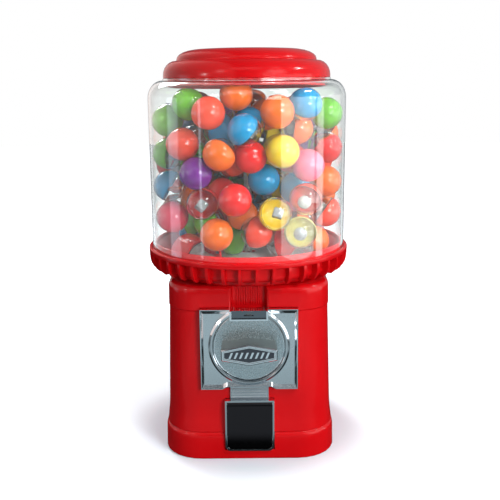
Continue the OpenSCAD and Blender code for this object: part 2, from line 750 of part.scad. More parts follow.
module hopper() {
    color("crimson") difference() {
        union() {
            rotate_extrude() polygon(hopper_section());
            for (i = [0:rib_count - 1])
                rotate([0, 0, 360 / rib_count * (i + 0.5)]) translate([0, rib_w / 2, 0]) rotate([90, 0, 0])
                    linear_extrude(rib_w)
                        polygon([[skirt_r - 1, lip_z - 4.6], [skirt_r - 1, 192], [skirt_r - 2, 189.6],
                            [skirt_r - 3.4, 188.2], [skirt_r - 3.8, 186.6], [skirt_r - 1.6, 184.3],
                            [skirt_r + 1.2, 184.3], [lip_r - 3.4, 187], [lip_r - 1.2, 191], [lip_r - 0.2, 196],
                            [lip_r - 0.2, 199], [lip_r - 0.5, lip_z - 4.6]]);
        }
        translate([outlet_x, outlet_y, cabinet_top_z - 1]) cylinder(r = pocket_r, h = hopper_floor + 2);
        block([-22.5, gear_y0 - 1.4, cabinet_top_z - 1], [22.5, gear_y0 + gear_face + 1.4, well_floor_z + 1]);
        for (p = hopper_bolt_places)
            translate([p[0], p[1], cabinet_top_z - 1]) cylinder(r = 2 + screw_gap, h = 3);
    }
}

module hopper_bolts() {
    roof_under_z = cabinet_top_z - cabinet_roof;
    color("gainsboro") for (p = hopper_bolt_places) translate([p[0], p[1], 0]) {
        translate([0, 0, roof_under_z - 3]) cylinder(r = 4.2, h = 3);
        translate([0, 0, roof_under_z - 0.1]) cylinder(r = 2, h = 4.9);
    }
}

hood_z = 199;
hood_r = 20.3;
hood_half_l = 18;

// Moves children to the outlet, with X pointing outwards from the centre
module at_outlet() {
    rotate([0, 0, outlet_angle]) translate([pocket_circle_r, 0, 0]) children();
}

module brush_housing() {
    color("white") {
        at_outlet() difference() {
            union() {
                translate([0, hood_half_l, hood_z]) rotate([90, 0, 0]) cylinder(r = hood_r, h = 2 * hood_half_l);
                block([-hood_r, -hood_half_l, wheel_z1 + 0.6], [hood_r, hood_half_l, hood_z]);
            }
            translate([0, 30, hood_z]) rotate([90, 0, 0]) cylinder(r = hood_r - 2, h = 60);
            block([-hood_r + 2, -30, wheel_z1 - 1], [hood_r - 2, 30, hood_z]);
            block([-40, -40, hood_z - 25], [40, 40, wheel_z1 + 0.6]);
        }
        rotate([0, 0, outlet_angle - 9]) rotate_extrude(angle = 18)
            polygon([[81, 199.65], [85.84, 199.7], [92, 205.06], [92, 207.4], [84, 204], [81, 204]]);
    }
}

module brush() {
    color("black") at_outlet() difference() {
        translate([0, hood_half_l - 1, hood_z]) rotate([90, 0, 0]) cylinder(r = hood_r - 2, h = 4);
        translate([0, hood_half_l + 1, hood_z]) rotate([90, 0, 0]) cylinder(r = 16.6, h = 8);
        block([-40, -40, hood_z - 40], [40, 40, hood_z + 3]);
    }
}

module wheel() {
    web_z = wheel_z1 - wheel_skin;
    first = outlet_angle + 180 / pocket_count;
    color("white") difference() {
        union() {
            rotate_extrude() polygon([[hub_r + running_gap, web_z], [wheel_r, web_z], [wheel_r, wheel_z1],
                [hub_r + running_gap, wheel_z1]]);
            rotate_extrude() polygon([[wheel_r - wheel_wall, wheel_z0 + 3], [wheel_r, wheel_z0 + 3],
                [wheel_r, web_z + 1], [wheel_r - wheel_wall, web_z + 1]]);
            rotate_extrude() polygon([[hub_r + running_gap, wheel_z0], [hub_r + 5, wheel_z0],
                [hub_r + 5, web_z + 1], [hub_r + running_gap, web_z + 1]]);
            rotate_extrude() polygon([[crown_ring_r0 - 2.6, crown_recess_top], [crown_ring_r1 + 2.4, crown_recess_top],
                [crown_ring_r1 + 2.4, web_z + 1], [crown_ring_r0 - 2.6, web_z + 1]]);
            for (i = [0:pocket_count - 1]) rotate([0, 0, first + i * 360 / pocket_count])
                translate([pocket_circle_r, 0, wheel_z0 + 0.4])
                    cylinder(r = pocket_r + wheel_wall, h = web_z - wheel_z0);
        }
        for (i = [0:pocket_count - 1]) rotate([0, 0, first + i * 360 / pocket_count])
            translate([pocket_circle_r, 0, wheel_z0 - 1]) cylinder(r = pocket_r, h = 30);
        // room for the crown gear, and nothing past the rim
        rotate_extrude() polygon([[crown_ring_r0 - 0.2, wheel_z0 - 1], [crown_ring_r1 + 1.2, wheel_z0 - 1],
            [crown_ring_r1 + 1.2, crown_recess_top], [crown_ring_r0 - 0.2, crown_recess_top]]);
        rotate_extrude() polygon([[wheel_r, wheel_z0 - 1], [wheel_r + 20, wheel_z0 - 1],
            [wheel_r + 20, wheel_z1 + 1], [wheel_r, wheel_z1 + 1]]);
        for (i = [0:3]) rotate([0, 0, 45 + 90 * i]) translate([crown_ring_r0 + 3.5, 0, crown_recess_top - 1])
            cylinder(r = 1.2 + screw_gap, h = 4);
    }
}

module crown_gear() {
    root_z = crown_z + dedendum;
    half_pitch_w = PI * gear_m / 4 - 0.35;
    slope = tan(pressure_angle);
    color("dimgray") difference() {
        union() {
            rotate_extrude() polygon([[crown_ring_r0, root_z], [crown_ring_r1, root_z],
                [crown_ring_r1, crown_recess_top], [crown_ring_r0, crown_recess_top]]);
            for (i = [0:crown_teeth - 1])
                rotate([0, 0, 360 / crown_teeth * (i + 0.5)])
                    translate([crown_pitch_r - crown_face / 2, 0, crown_z]) rotate([90, 0, 90])
                        linear_extrude(crown_face) polygon([
                            [-half_pitch_w + addendum * slope, -addendum], [half_pitch_w - addendum * slope, -addendum],
                            [half_pitch_w + dedendum * slope, dedendum + 0.1],
                            [-half_pitch_w - dedendum * slope, dedendum + 0.1]
                        ]);
        }
        for (i = [0:3]) rotate([0, 0, 45 + 90 * i]) translate([crown_ring_r0 + 3.5, 0, root_z - 1])
            cylinder(r = 1.2 + screw_gap, h = 10);
    }
}

module crown_screws() {
    color("gainsboro") for (i = [0:3]) rotate([0, 0, 45 + 90 * i])
        translate([crown_ring_r0 + 3.5, 0, crown_z + dedendum + 0.1]) cylinder(r = 1.2, h = 5.4);
}

module globe() {
    shoulder_r = 14;
    outer = concat(
        [[globe_r, groove_z + 0.2]],
        arc(globe_r - shoulder_r, globe_top_z - 1.6 - shoulder_r, shoulder_r, 0, 90, 8)
    );
    inner = concat(
        arc(globe_r - shoulder_r, globe_top_z - 1.6 - shoulder_r, shoulder_r - globe_wall, 90, 0, 8),
        [[globe_r - globe_wall, groove_z + 0.2]]
    );
    color("aliceblue", 0.35) rotate_extrude() polygon(concat(
        outer,
        [[85.4, globe_top_z - 1.6], [85.4, globe_top_z], [82, globe_top_z], [82, globe_top_z - 1.6 - globe_wall]],
        inner
    ));
}

module centre_rod() {
    color("silver") {
        translate([0, 0, 5.2]) cylinder(r = rod_r, h = 382 - 5.2);
        translate([0, 0, 198]) cylinder(r = rod_r + 1.5, h = 4);
    }
}

module rod_washer() {
    color("gainsboro") difference() {
        translate([0, 0, 15]) cylinder(r = 9, h = 1.5);
        translate([0, 0, 14]) cylinder(r = rod_r + 0.1, h = 4);
    }
}

module rod_nut() {
    color("gainsboro") difference() {
        translate([0, 0, 16.5]) cylinder(r = 7.5, h = 6, $fn = 6);
        translate([0, 0, 15]) cylinder(r = rod_r + 0.1, h = 9);
    }
}

// Outer outline of the lid from its bottom edge to the lock's seat
function lid_outer(g) = let (top = machine_h - g, tier_z = 394.4) concat(
    [[lid_r - g, globe_top_z + 0.1]],
    [for (a = [0:15:75]) [lid_tier_r + 1 - g + (lid_r - lid_tier_r - 1) * cos(a), 380 + (tier_z - 380 - g) * sin(a)]],
    [[lid_tier_r - g, tier_z - g]],
    [for (a = [0:15:90]) [48 + (lid_tier_r - 48 - g) * cos(a), tier_z + 1.4 - g + (top - 0.6 - tier_z - 1.4 + g) * sin(a)]],
    [[30, top - 0.2]]
);

module lid() {
    seat_r = 11;
    guide_r = 80.6;
    color("crimson") rotate_extrude() union() {
        polygon(concat(
            lid_outer(0),
            [[16, machine_h - 0.1], [14.5, machine_h - 1.4], [seat_r + 0.1, machine_h - 1.4],
                [seat_r + 0.1, 386], [seat_r + 3, 386], [seat_r + 3, machine_h - 4]],
            [for (i = [len(lid_outer(lid_wall)) - 1:-1:0]) lid_outer(lid_wall)[i]]
        ));
        // guide skirt that drops inside the globe's mouth
        polygon([[guide_r - 2, 371], [guide_r, 371], [guide_r, globe_top_z + 0.1], [lid_r - 1, globe_top_z + 0.1],
            [lid_r - 1, globe_top_z + 2.2], [guide_r - 2, globe_top_z + 2.2]]);
    }
}

module lock_body() {
    color("gainsboro") difference() {
        union() {
            translate([0, 0, 385.5]) cylinder(r = 11, h = machine_h - 1.4 - 385.5);
            translate([0, 0, machine_h - 1.4]) cylinder(r = 13.5, h = 1.2);
        }
        translate([0, 0, 380]) cylinder(r = 6.5 + running_gap, h = 40);
    }
}

module lock_plug() {
    top = machine_h - 0.6;
    color("silver") difference() {
        union() {
            translate([0, 0, 384.8]) cylinder(r = 6.5, h = top - 384.8);
            block([-5, -4, 383], [17, 4, 385]);
        }
        block([-0.7, -3.6, top - 8], [0.7, 3.6, top + 1]);
    }
}

// The fill: each capsule drops on the lowest of several spots and rolls downhill until it rests
gap_d = capsule_d + 0.3;
rod_reach = rod_r + capsule_d / 2 + 0.4;
wall_reach = globe_r - globe_wall - capsule_d / 2 - 0.3;
rim_reach = rim_inner_r - capsule_d / 2 - 0.4;
hood_reach = hood_r + capsule_d / 2 + 1.2;
tries = 22;

// What a capsule can rest on: [x, y, z, square of the reach between centres]
hood_stops = [for (t = [-14, 0, 14]) [
    pocket_circle_r * cos(outlet_angle) - t * sin(outlet_angle),
    pocket_circle_r * sin(outlet_angle) + t * cos(outlet_angle),
    hood_z,
    hood_reach * hood_reach
]];

function floor_height(r) =
    r > rim_reach ? rim_top_z + capsule_d / 2 + 0.4
    : max(wheel_z1 + capsule_d / 2 + 0.5,
          shelf_z0 + (16.3 * 15.24 + 10 * (r - shelf_r0)) / 11.5);

// The lowest free height at (x, y), on the floor or on one of the stops
function rest_height(x, y, stops) =
    let (
        spans = [for (q = stops)
            let (dx = x - q[0], dy = y - q[1], d2 = dx * dx + dy * dy)
            if (d2 < q[3]) let (s = sqrt(q[3] - d2)) [q[2] - s + eps, q[2] + s - eps, q[2] + s]],
        low = floor_height(norm([x, y]))
    )
    min([for (z = [low, for (t = spans) if (t[2] > low) t[2]])
        if (len([for (t = spans) if (z > t[0] && z < t[1]) 1]) == 0) z]);

// A spot at radius r and angle a, kept between the rod and the wall, at the height where it rests
function spot(r, a, stops) =
    let (s = min(wall_reach, max(rod_reach, r)), x = s * cos(a), y = s * sin(a))
    [x, y, rest_height(x, y, stops)];

function lowest(list, i = 1, best = 0) =
    i >= len(list) ? list[best] : lowest(list, i + 1, list[i][2] < list[best][2] ? i : best);

// Rolls from p in steps, shorter whenever no step leads down
function roll(p, stops, step = 5, turns = 9) =
    turns == 0 ? p
    : let (next = lowest([
        p,
        for (a = [0:60:300])
            let (x = p[0] + step * cos(a), y = p[1] + step * sin(a))
            spot(norm([x, y]), atan2(y, x), stops)
    ]))
    next == p ? roll(p, stops, step / 2, turns - 1) : roll(next, stops, step, turns - 1);

function near(p, stops) =
    [for (q = stops) if (abs(p[0] - q[0]) < 80 && abs(p[1] - q[1]) < 80) q];

// Front row, from the top down: across and height of each capsule that lies against the wall
front_row = [
    [-10, 362], [28, 346], [-36, 345], [55, 352], [-56, 353], [-79, 336], [2, 334], [-66, 343], [79, 342],
    [-28, 329], [60, 326], [-62, 315], [33, 309], [80, 308], [-80, 303], [3, 303], [-15, 297], [58, 294],
    [-49, 288], [16, 279], [-80, 270], [79, 274], [-12, 264], [56, 261], [-44, 257], [26, 250], [-76, 240],
    [80, 242], [-58, 229], [-30, 230], [8, 229], [51, 229], [74, 229]
];

// The foremost place at across x and height z that is clear of the stops
function foremost(x, z, stops, y) =
    y > -6 ? []
    : norm([x, y]) > rod_reach && z >= floor_height(norm([x, y]))
        && len([for (q = stops) if (pow(x - q[0], 2) + pow(y - q[1], 2) + pow(z - q[2], 2) < q[3]) 1]) == 0
    ? [x, y, z] : foremost(x, z, stops, y + 1);

function as_stops(list) = [for (p = list) [p[0], p[1], p[2], gap_d * gap_d]];

function front_placed(i = 0, placed = []) =
    i == len(front_row) ? placed
    : let (
        x = front_row[i][0],
        z = front_row[i][1],
        reach = z > 354 ? 61 : wall_reach,
        p = foremost(x, z, concat(hood_stops, as_stops(placed)), -sqrt(reach * reach - x * x))
    )
    front_placed(i + 1, p == [] ? placed : concat(placed, [p]));

function fill(count, stops, placed = []) =
    count == 0 ? placed
    : let (
        u = rands(0, 1, 2 * tries, fill_seed + count),
        first = lowest([for (k = [0:tries - 1])
            spot(rod_reach + (wall_reach + 9 - rod_reach) * sqrt(u[2 * k]), 360 * u[2 * k + 1], stops)]),
        best = roll(first, near(first, stops)),
        full = best[2] > 361 - 0.16 * norm([best[0], best[1]])
    )
    fill(count - 1,
        full ? stops : concat(stops, [[best[0], best[1], best[2], gap_d * gap_d]]),
        full ? placed : concat(placed, [best]));

module capsules(low, high) {
    front = front_placed();
    for (p = fill(capsule_count - len(front), concat(hood_stops, as_stops(front)), front))
        if (p[2] >= low && p[2] < high)
            translate(p) difference() {
                sphere(capsule_d / 2);
                sphere(capsule_d / 2 - capsule_wall);
            }
}

module capsules_lower() { color("orange") capsules(0, 262); }
module capsules_middle() { color("yellowgreen") capsules(262, 312); }
module capsules_upper() { color("deepskyblue") capsules(312, 400); }

base_pan();
cabinet();
chute();
door_frame();
door_flap();
door_pin();
face_plate();
mech_frame();
frame_screws();
plate_bolts();
knob();
knob_badge();
knob_shaft();
coin_carrier();
ratchet_disc();
drive_gear();
shaft_clip();
pawl();
pawl_stud();
pawl_spring();
idler_gear();
idler_bracket();
hopper();
hopper_bolts();
brush_housing();
brush();
wheel();
crown_gear();
crown_screws();
globe();
centre_rod();
rod_washer();
rod_nut();
lid();
lock_body();
lock_plug();
capsules_lower();
capsules_middle();
capsules_upper();
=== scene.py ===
import json
import math
import random

import bmesh
import bpy
import numpy as np
from mathutils import Matrix, Vector


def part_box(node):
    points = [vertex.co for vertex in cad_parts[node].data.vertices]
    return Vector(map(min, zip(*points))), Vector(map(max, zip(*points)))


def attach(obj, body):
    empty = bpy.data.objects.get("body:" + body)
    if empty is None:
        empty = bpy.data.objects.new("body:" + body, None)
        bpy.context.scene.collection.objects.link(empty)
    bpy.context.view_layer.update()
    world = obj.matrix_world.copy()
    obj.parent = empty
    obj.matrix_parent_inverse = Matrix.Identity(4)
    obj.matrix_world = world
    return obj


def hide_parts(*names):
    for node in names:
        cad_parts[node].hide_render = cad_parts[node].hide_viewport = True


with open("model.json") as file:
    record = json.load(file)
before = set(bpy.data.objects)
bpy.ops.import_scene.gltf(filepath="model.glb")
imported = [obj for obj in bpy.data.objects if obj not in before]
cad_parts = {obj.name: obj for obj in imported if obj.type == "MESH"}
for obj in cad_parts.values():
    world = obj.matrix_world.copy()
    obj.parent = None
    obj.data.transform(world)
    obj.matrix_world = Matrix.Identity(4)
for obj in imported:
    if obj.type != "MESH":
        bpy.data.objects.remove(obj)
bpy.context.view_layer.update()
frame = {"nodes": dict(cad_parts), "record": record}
nodes = frame["nodes"]
scene = bpy.context.scene
MM = 0.001

# Camera ------------------------------------------------------------------
# A short telephoto a little below the lid's height, square to the front and
# looking down at the knob, with a trace of roll from a hand-levelled tripod.
CAMERA_BACK, CAMERA_UP = 790 * MM, 373.9 * MM
CAMERA_DIP, CAMERA_ROLL = 12.59, -0.53
lens = bpy.data.cameras.new("camera")
lens.lens = 54.4
lens.sensor_width = 36
lens.shift_x = 0.0036
lens.clip_start = 0.01
camera = bpy.data.objects.new("camera", lens)
scene.collection.objects.link(camera)
camera.matrix_world = (
    Matrix.Translation((0, -CAMERA_BACK, CAMERA_UP))
    @ Matrix.Rotation(math.radians(90 - CAMERA_DIP), 4, "X")
    @ Matrix.Rotation(math.radians(CAMERA_ROLL), 4, "Z")
)
scene.camera = camera

# Studio ------------------------------------------------------------------
# A white sweep under even daylight: the floor keeps a soft shadow near the
# machine, and gloss and metal see a dim room with windows on both sides.
scene.view_settings.view_transform = "Standard"
world = bpy.data.worlds.new("white sweep")
scene.world = world
world.use_nodes = True
sky = world.node_tree
sky.nodes.clear()
sky_link = sky.links.new
sky_out = sky.nodes.new("ShaderNodeOutputWorld")
ray = sky.nodes.new("ShaderNodeLightPath")
room_light = sky.nodes.new("ShaderNodeBackground")
room_light.inputs["Color"].default_value = (0.93, 0.96, 1.0, 1)
room_light.inputs["Strength"].default_value = 0.30
white_surround = sky.nodes.new("ShaderNodeBackground")
white_surround.inputs["Color"].default_value = (1, 1, 1, 1)

# what gloss and metal see, from left to right: a warm wall, a dim room and a pale wall
direction = sky.nodes.new("ShaderNodeTexCoord")
across = sky.nodes.new("ShaderNodeSeparateXYZ")
centred = sky.nodes.new("ShaderNodeMath")
centred.operation = "MULTIPLY_ADD"
centred.inputs[1].default_value = 0.5
centred.inputs[2].default_value = 0.5
room_tone = sky.nodes.new("ShaderNodeValToRGB")
tones = room_tone.color_ramp.elements
warm_wall, pale_wall = tones[0], tones[1]
warm_wall.position = 0.355
warm_wall.color = (1.0, 0.84, 0.80, 1)
pale_wall.position = 0.95
pale_wall.color = (0.60, 0.66, 0.70, 1)
dim_room = tones.new(0.385)
dim_room.color = (0.07, 0.08, 0.09, 1)
mirror_room = sky.nodes.new("ShaderNodeBackground")
seen_or_lit = sky.nodes.new("ShaderNodeMixShader")
glossy_or_not = sky.nodes.new("ShaderNodeMixShader")


def combine(tree, operation, first, second):
    """A Math node on an output and either another output or a number; returns its own output."""
    node = tree.nodes.new("ShaderNodeMath")
    node.operation = operation
    tree.links.new(first, node.inputs[0])
    if isinstance(second, float):
        node.inputs[1].default_value = second
    else:
        tree.links.new(second, node.inputs[1])
    return node.outputs[0]


def sort_rays(tree, rays):
    """Outputs that are 1 for sight of the surround, for rays off a mirror, and before any matt bounce."""
    is_transmission = rays.outputs["Is Transmission Ray"]
    clear_view = combine(tree, "MAXIMUM", rays.outputs["Is Camera Ray"], is_transmission)
    bounces = combine(tree, "ADD", rays.outputs["Diffuse Depth"], rays.outputs["Glossy Depth"])
    straight = combine(tree, "MULTIPLY", clear_view, combine(tree, "LESS_THAN", bounces, 0.5))
    unlit = combine(tree, "LESS_THAN", rays.outputs["Diffuse Depth"], 0.5)
    # a ray that only bounces inside one clear wall still sees what lies behind it
    shallow = combine(tree, "LESS_THAN", rays.outputs["Transmission Depth"], 3.5)
    one_wall = combine(tree, "MULTIPLY", shallow, unlit)
    seen = combine(tree, "MAXIMUM", straight, combine(tree, "MULTIPLY", one_wall, is_transmission))
    bounced = combine(tree, "GREATER_THAN", rays.outputs["Glossy Depth"], 0.5)
    off_mirror = combine(tree, "MULTIPLY", bounced, unlit)
    off_mirror = combine(tree, "MULTIPLY", off_mirror, combine(tree, "LESS_THAN", seen, 0.5))
    return seen, off_mirror, unlit


seen, off_mirror, _ = sort_rays(sky, ray)
sky_link(direction.outputs["Generated"], across.inputs[0])
sky_link(across.outputs["X"], centred.inputs[0])
sky_link(centred.outputs[0], room_tone.inputs["Fac"])
sky_link(room_tone.outputs["Color"], mirror_room.inputs["Color"])
sky_link(off_mirror, glossy_or_not.inputs["Fac"])
sky_link(room_light.outputs[0], glossy_or_not.inputs[1])
sky_link(mirror_room.outputs[0], glossy_or_not.inputs[2])
sky_link(seen, seen_or_lit.inputs["Fac"])
sky_link(glossy_or_not.outputs[0], seen_or_lit.inputs[1])
sky_link(white_surround.outputs[0], seen_or_lit.inputs[2])
sky_link(seen_or_lit.outputs[0], sky_out.inputs["Surface"])

FLOOR_R, FLOOR_DROP = 4, 0.2 * MM
floor_mesh = bpy.data.meshes.new("floor")
form = bmesh.new()
bmesh.ops.create_circle(form, cap_ends=True, segments=96, radius=FLOOR_R)
bmesh.ops.translate(form, verts=form.verts, vec=(0, 0, -FLOOR_DROP))
form.to_mesh(floor_mesh)
form.free()
floor = bpy.data.objects.new("floor", floor_mesh)
scene.collection.objects.link(floor)
paper = bpy.data.materials.new("white paper sweep")
paper.use_nodes = True
sheet = paper.node_tree
sheet.nodes.clear()
sheet_out = sheet.nodes.new("ShaderNodeOutputMaterial")
sheet_ray = sheet.nodes.new("ShaderNodeLightPath")
sheet_link = sheet.links.new


def paper_scale(source, low, high, start, stop):
    """Maps source, in metres, from low..high to start..stop on the paper, smoothly."""
    scale = sheet.nodes.new("ShaderNodeMapRange")
    scale.interpolation_type = "SMOOTHSTEP"
    for socket, value in (("From Min", low), ("From Max", high), ("To Min", start), ("To Max", stop)):
        scale.inputs[socket].default_value = value
    sheet_link(source, scale.inputs["Value"])
    return scale.outputs["Result"]


floor_place = sheet.nodes.new("ShaderNodeTexCoord")
away = sheet.nodes.new("ShaderNodeVectorMath")
away.operation = "LENGTH"
sheet_link(floor_place.outputs["Object"], away.inputs[0])
floor_axes = sheet.nodes.new("ShaderNodeSeparateXYZ")
sheet_link(floor_place.outputs["Object"], floor_axes.inputs[0])
matt = sheet.nodes.new("ShaderNodeBsdfDiffuse")
paper_tone = sheet.nodes.new("ShaderNodeMix")
paper_tone.data_type = "RGBA"
tone_for_bounces, tone_for_sight = paper_tone.inputs[6], paper_tone.inputs[7]
tone_for_bounces.default_value = (0.34, 0.35, 0.36, 1)
tone_for_sight.default_value = (0.77, 0.85, 0.92, 1)
sheet_link(paper_tone.outputs[2], matt.inputs["Color"])
looked_at, off_mirror, unlit = sort_rays(sheet, sheet_ray)
sheet_link(unlit, paper_tone.inputs[0])

# the paper glows more away from the machine, up to the white of the surround: painted light, which lets the
# machine's shadow show only close to it
lift = sheet.nodes.new("ShaderNodeEmission")
lift.inputs["Color"].default_value = (1.0, 0.99, 0.98, 1)
near_lift = paper_scale(away.outputs["Value"], 0.095, 0.15, 0.1, 0.5)
far_lift = paper_scale(away.outputs["Value"], 0.15, 1.1, 0.0, 0.5)
whole_lift = combine(sheet, "ADD", near_lift, far_lift)
sheet_link(combine(sheet, "MULTIPLY", looked_at, whole_lift), lift.inputs["Strength"])
paper_in_sight = sheet.nodes.new("ShaderNodeAddShader")
sheet_link(matt.outputs[0], paper_in_sight.inputs[0])
sheet_link(lift.outputs[0], paper_in_sight.inputs[1])

# what metal and gloss see of it: two pale bands in front of the machine
reflected = sheet.nodes.new("ShaderNodeEmission")
reflected.inputs["Color"].default_value = (0.54, 0.66, 0.71, 1)
close_by = paper_scale(floor_axes.outputs["Y"], -0.152, -0.128, 0.5, 0.04)
further_off = paper_scale(floor_axes.outputs["Y"], -0.42, -0.2, 0.5, 0)
not_afar = paper_scale(floor_axes.outputs["Y"], -0.95, -0.68, 0.12, 1.0)
in_front = combine(sheet, "MULTIPLY", combine(sheet, "ADD", close_by, further_off), not_afar)
beside = sheet.nodes.new("ShaderNodeMath")
beside.operation = "ABSOLUTE"
sheet_link(floor_axes.outputs["X"], beside.inputs[0])
not_beside = paper_scale(beside.outputs[0], 0.25, 0.5, 1.0, 0.3)
sheet_link(combine(sheet, "MULTIPLY", in_front, not_beside), reflected.inputs["Strength"])
in_mirror_or_not = sheet.nodes.new("ShaderNodeMixShader")
sheet_link(off_mirror, in_mirror_or_not.inputs["Fac"])
sheet_link(paper_in_sight.outputs[0], in_mirror_or_not.inputs[1])
sheet_link(reflected.outputs[0], in_mirror_or_not.inputs[2])
sheet_link(in_mirror_or_not.outputs[0], sheet_out.inputs["Surface"])
floor_mesh.materials.append(paper)


def softbox(name, place, aim, width, height, watts, tint=(1, 1, 1), lights=True, mirrored=True):
    """A rectangular lamp at place that faces aim: it lights matt surfaces, is mirrored in gloss, or both."""
    lamp = bpy.data.lights.new(name, "AREA")
    lamp.shape = "RECTANGLE"
    lamp.size = width
    lamp.size_y = height
    lamp.energy = watts
    lamp.color = tint
    holder = bpy.data.objects.new(name, lamp)
    scene.collection.objects.link(holder)
    turn = (Vector(aim) - Vector(place)).to_track_quat("-Z", "Y")
    holder.matrix_world = Matrix.Translation(place) @ turn.to_matrix().to_4x4()
    holder.visible_camera = False
    holder.visible_diffuse = lights
    holder.visible_glossy = mirrored


# where it stands, where it faces, its width, height and watts; windows show in
# gloss and metal, and daylight only lights
softbox("bright window right", (0.95, -0.04, 0.23), (0, 0, 0.23), 0.18, 0.48, 0.9)
softbox("wide window right", (0.80, -0.50, 0.25), (0, 0, 0.22), 0.74, 0.50, 3.2, lights=False)
softbox("window left", (-0.95, 0.0, 0.23), (0, 0, 0.23), 0.28, 0.48, 0.7, (0.72, 0.84, 1))
softbox("narrow window left", (-0.78, -0.60, 0.23), (0, 0, 0.23), 0.05, 0.48, 0.2, (0.8, 0.88, 1))
softbox("daylight", (0.75, -0.78, 1.25), (0, 0, 0.2), 0.4, 0.4, 9.5, mirrored=False)
softbox("low daylight", (0.60, -1.10, 0.50), (0, 0, 0.2), 0.4, 0.3, 8, mirrored=False)
softbox("daylight behind", (-0.60, 0.95, 1.05), (0, 0, 0.2), 0.5, 0.5, 10, mirrored=False)
softbox("high window right", (0.72, -0.85, 0.72), (0, 0, 0.2), 0.45, 0.3, 1.6, lights=False)
softbox("high window left", (-0.56, -0.80, 0.75), (0, 0, 0.2), 0.2, 0.25, 0.4, lights=False)
softbox("pale ceiling", (0, -1.05, 1.20), (0, -0.09, 0.1), 0.9, 0.45, 1.3, lights=False)
softbox("small lamp left", (-1.04, -0.69, 0.58), (0, 0, 0.3), 0.06, 0.06, 1.2, lights=False)
softbox("bright pane right", (1.0, -0.22, 0.95), (0, 0, 0.3), 0.16, 0.10, 4, lights=False)

# Base pan ----------------------------------------------------------------
# The tray that the machine stands on, with four bolt holes for a stand. It is
# moulded in the same glossy red plastic as the cabinet over its inner lip.


CORNER = 34


def smooth_mesh(shape, name, corner=CORNER):
    """A mesh made from shape, which is freed, with smooth faces that meet sharply above corner degrees."""
    mesh = bpy.data.meshes.new(name)
    shape.to_mesh(mesh)
    shape.free()
    mesh.shade_smooth()
    mesh.set_sharp_from_angle(angle=math.radians(corner))
    return mesh


def tidy_copy(node, name, body, ease=0.0, corner=CORNER):
    """A welded, smooth copy of a CAD node with its arrises eased, which stands for that node."""
    shape = bmesh.new()
    shape.from_mesh(nodes[node].data)
    bmesh.ops.remove_doubles(shape, verts=shape.verts, dist=0.004 * MM)
    bmesh.ops.dissolve_limit(shape, angle_limit=math.radians(0.3), verts=shape.verts, edges=shape.edges)
    return dressed(smooth_mesh(shape, name, corner), name, body, node, ease, corner)


def dressed(mesh, name, body, node, ease=0.0, corner=CORNER):
    """The object for a finished mesh, riding on its body and standing for its CAD node."""
    piece = bpy.data.objects.new(name, mesh)
    scene.collection.objects.link(piece)
    if ease:
        bevel = piece.modifiers.new("eased arrises", "BEVEL")
        bevel.width = ease
        bevel.segments = 2
        bevel.limit_method = "ANGLE"
        bevel.angle_limit = math.radians(corner)
    even = piece.modifiers.new("even shading", "WEIGHTED_NORMAL")
    even.keep_sharp = True
    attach(piece, body)
    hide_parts(node)
    return piece


def repaint(piece, material):
    """Gives piece one material all over."""
    piece.data.materials.clear()
    piece.data.materials.append(material)


def paint_where(piece, material, test):
    """Gives material to the faces of piece whose middle, in millimetres, and normal pass test."""
    mesh = piece.data
    mesh.materials.append(material)
    slot = len(mesh.materials) - 1
    for face in mesh.polygons:
        if test(face.center / MM, face.normal):
            face.material_index = slot


def finish(name, colour, roughness, metallic=0.0, **sockets):
    """A material with one Principled shader; returns the material, its tree and that shader."""
    material = bpy.data.materials.new(name)
    material.use_nodes = True
    tree = material.node_tree
    surface = tree.nodes["Principled BSDF"]
    surface.inputs["Base Color"].default_value = (*colour, 1)
    surface.inputs["Roughness"].default_value = roughness
    surface.inputs["Metallic"].default_value = metallic
    for socket, value in sockets.items():
        surface.inputs[socket].default_value = value
    return material, tree, surface


def noise(tree, scale, detail=2.0):
    """A Noise Texture node on Object coordinates; scale is in cycles per metre."""
    place = tree.nodes.new("ShaderNodeTexCoord")
    grain = tree.nodes.new("ShaderNodeTexNoise")
    grain.inputs["Scale"].default_value = scale
    grain.inputs["Detail"].default_value = detail
    tree.links.new(place.outputs["Object"], grain.inputs["Vector"])
    return grain


NOISE_SPAN = (0.3, 0.7)


def spread(tree, source, low, high):
    """Maps the span that noise mostly fills to low..high, which are numbers or colours."""
    if isinstance(low, tuple):
        ramp = tree.nodes.new("ShaderNodeValToRGB")
        for stop, place, colour in zip(ramp.color_ramp.elements, NOISE_SPAN, (low, high)):
            stop.position = place
            stop.color = (*colour, 1)
        tree.links.new(source, ramp.inputs["Fac"])
        return ramp.outputs["Color"]
    scaled = tree.nodes.new("ShaderNodeMapRange")
    for socket, value in zip(("From Min", "From Max", "To Min", "To Max"), (*NOISE_SPAN, low, high)):
        scaled.inputs[socket].default_value = value
    tree.links.new(source, scaled.inputs["Value"])
    return scaled.outputs["Result"]


def relief(tree, surface, source, depth):
    """Raises the surface by depth, in metres, where source is 1."""
    bump = tree.nodes.new("ShaderNodeBump")
    bump.inputs["Strength"].default_value = 1.0
    bump.inputs["Distance"].default_value = depth
    tree.links.new(source, bump.inputs["Height"])
    tree.links.new(bump.outputs["Normal"], surface.inputs["Normal"])


red_shell, tree, surface = finish(
    "glossy red plastic", (0.66, 0.003, 0.006), 0.16, **{"Specular IOR Level": 0.24})
flow = noise(tree, 22, 3)
streaks = spread(tree, flow.outputs["Fac"], (0.63, 0.003, 0.0055), (0.69, 0.004, 0.007))
tree.links.new(streaks, surface.inputs["Base Color"])
skin = noise(tree, 260, 2)
tree.links.new(spread(tree, skin.outputs["Fac"], 0.14, 0.2), surface.inputs["Roughness"])
relief(tree, surface, skin.outputs["Fac"], 0.01 * MM)

pan = tidy_copy("base_pan", "base_pan_moulding", "housing", ease=0.5 * MM)
repaint(pan, red_shell)

